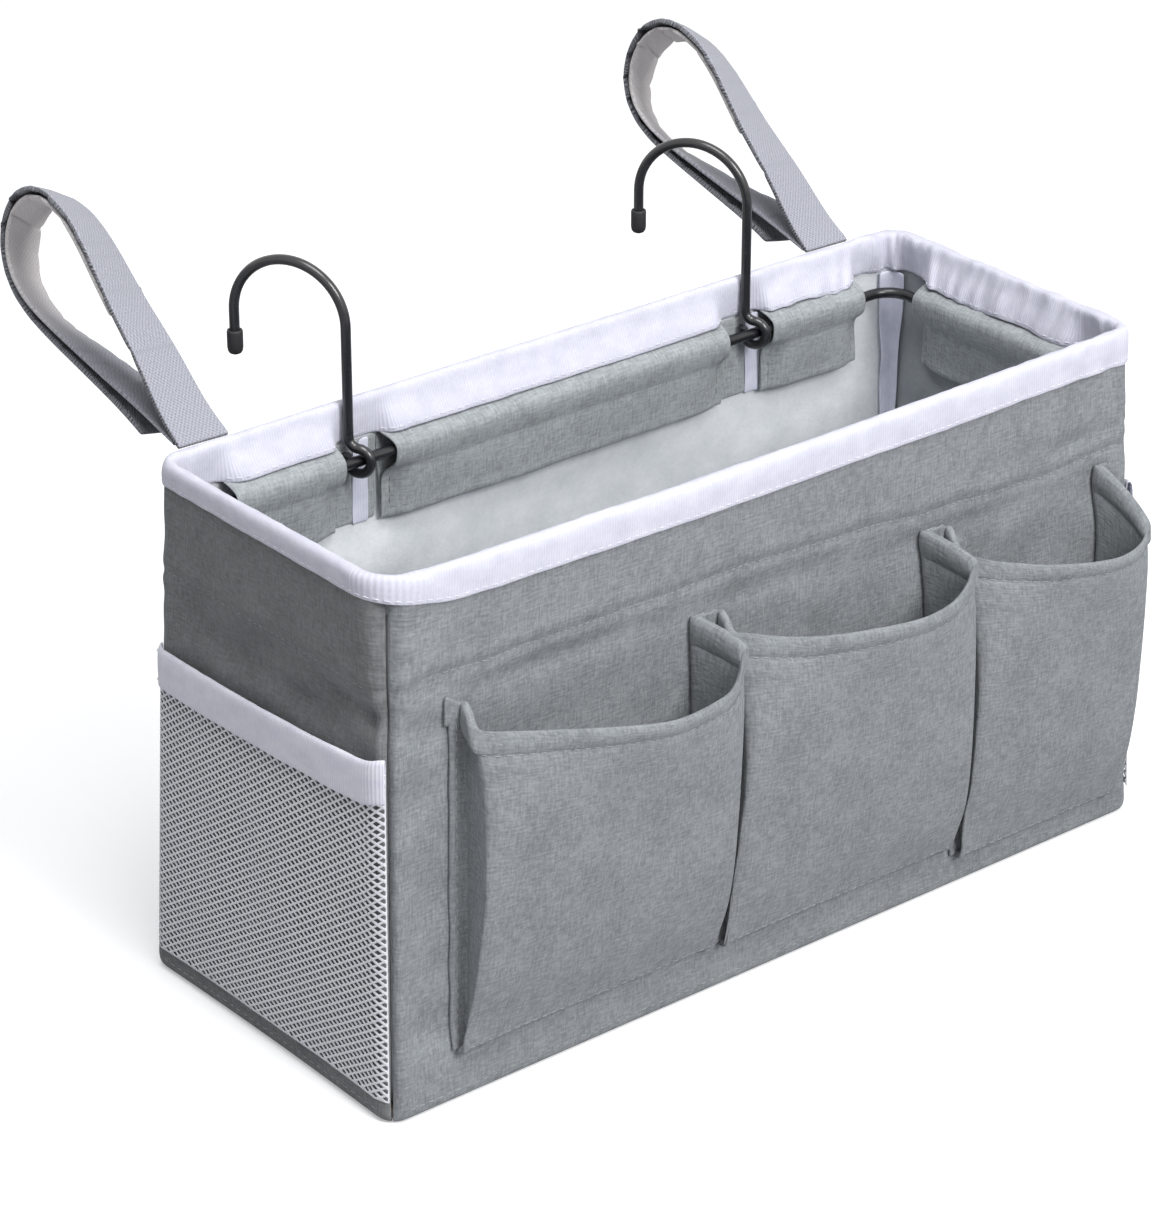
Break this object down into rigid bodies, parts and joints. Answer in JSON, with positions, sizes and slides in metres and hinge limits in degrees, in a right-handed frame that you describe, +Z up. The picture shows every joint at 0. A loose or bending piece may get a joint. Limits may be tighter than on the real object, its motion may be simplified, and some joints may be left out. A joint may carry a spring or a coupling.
{
  "type": "bedside caddy",
  "caption": "Soft open-topped bedside caddy with front pockets, side mesh pockets, swinging wire hooks and hook-and-loop straps that hang it on a bed rail.",
  "frame": {"origin": "middle of the underside, on the ground", "axes": "+X along the length of the box, -Y is the side with the three pockets, +Y is the bed side, +Z up"},
  "size_m": [0.3596, 0.2655, 0.2666],
  "materials": {
    "canvas": "grey linen-look canvas, matte",
    "board": "plain stiff board",
    "lining": "pale non-woven cloth",
    "binding": "ribbed tape with a slight sheen",
    "frame_wire": "black coated steel wire",
    "hook_wire": "black coated steel wire",
    "hook_tip": "black rubber",
    "strap_loop_tape": "grey woven loop tape",
    "strap_hook_tape": "cream-backed hook tape",
    "mesh_net": "pale knitted mesh"
  },
  "bodies": {
    "caddy_body": {"front_panel": "canvas", "back_panel": "canvas", "left_side_panel": "canvas", "right_side_panel": "canvas", "bottom_panel": "canvas", "bottom_board": "board", "inner_lining": "lining", "rim_binding": "binding", "frame_rod_front": "frame_wire", "frame_rod_back": "frame_wire", "frame_sleeve_left": "frame_wire", "frame_sleeve_right": "frame_wire", "casing_front": "canvas", "casing_back_left": "canvas", "casing_back_middle": "canvas", "casing_back_right": "canvas", "casing_left": "canvas", "casing_right": "canvas", "corner_tape_front_left": "binding", "corner_tape_back_left": "binding", "corner_tape_front_right": "binding", "corner_tape_back_right": "binding", "hook_opening_tape_left": "binding", "hook_opening_tape_right": "binding", "strap_left_sewn_end": "strap_loop_tape", "strap_right_sewn_end": "strap_loop_tape", "front_pocket_left": "canvas", "front_pocket_middle": "canvas", "front_pocket_right": "canvas", "side_net_left": "mesh_net", "side_net_right": "mesh_net", "side_band_left": "binding", "side_band_right": "binding"},
    "hook_left": {"hook_left_wire": "hook_wire", "hook_left_tip": "hook_tip"},
    "hook_right": {"hook_right_wire": "hook_wire", "hook_right_tip": "hook_tip"},
    "strap_left": {"strap_left_loop_tape": "strap_loop_tape", "strap_left_hook_tape": "strap_hook_tape"},
    "strap_right": {"strap_right_loop_tape": "strap_loop_tape", "strap_right_hook_tape": "strap_hook_tape"}
  },
  "joints": [
    {"name": "hook_left_swing", "type": "hinge", "parent": "caddy_body", "child": "hook_left", "pos_m": [-0.09, 0.05414, 0.1745], "axis": [1, 0, 0], "range_deg": [0, 165]},
    {"name": "hook_right_swing", "type": "hinge", "parent": "caddy_body", "child": "hook_right", "pos_m": [0.09, 0.05414, 0.1745], "axis": [1, 0, 0], "range_deg": [0, 165]},
    {"name": "strap_left_fold", "type": "hinge", "parent": "caddy_body", "child": "strap_left", "pos_m": [-0.147, 0.0661, 0.1941], "axis": [1, 0, 0], "range_deg": [-50, 40]},
    {"name": "strap_right_fold", "type": "hinge", "parent": "caddy_body", "child": "strap_right", "pos_m": [0.134, 0.0661, 0.1941], "axis": [1, 0, 0], "range_deg": [-50, 40]}
  ]
}
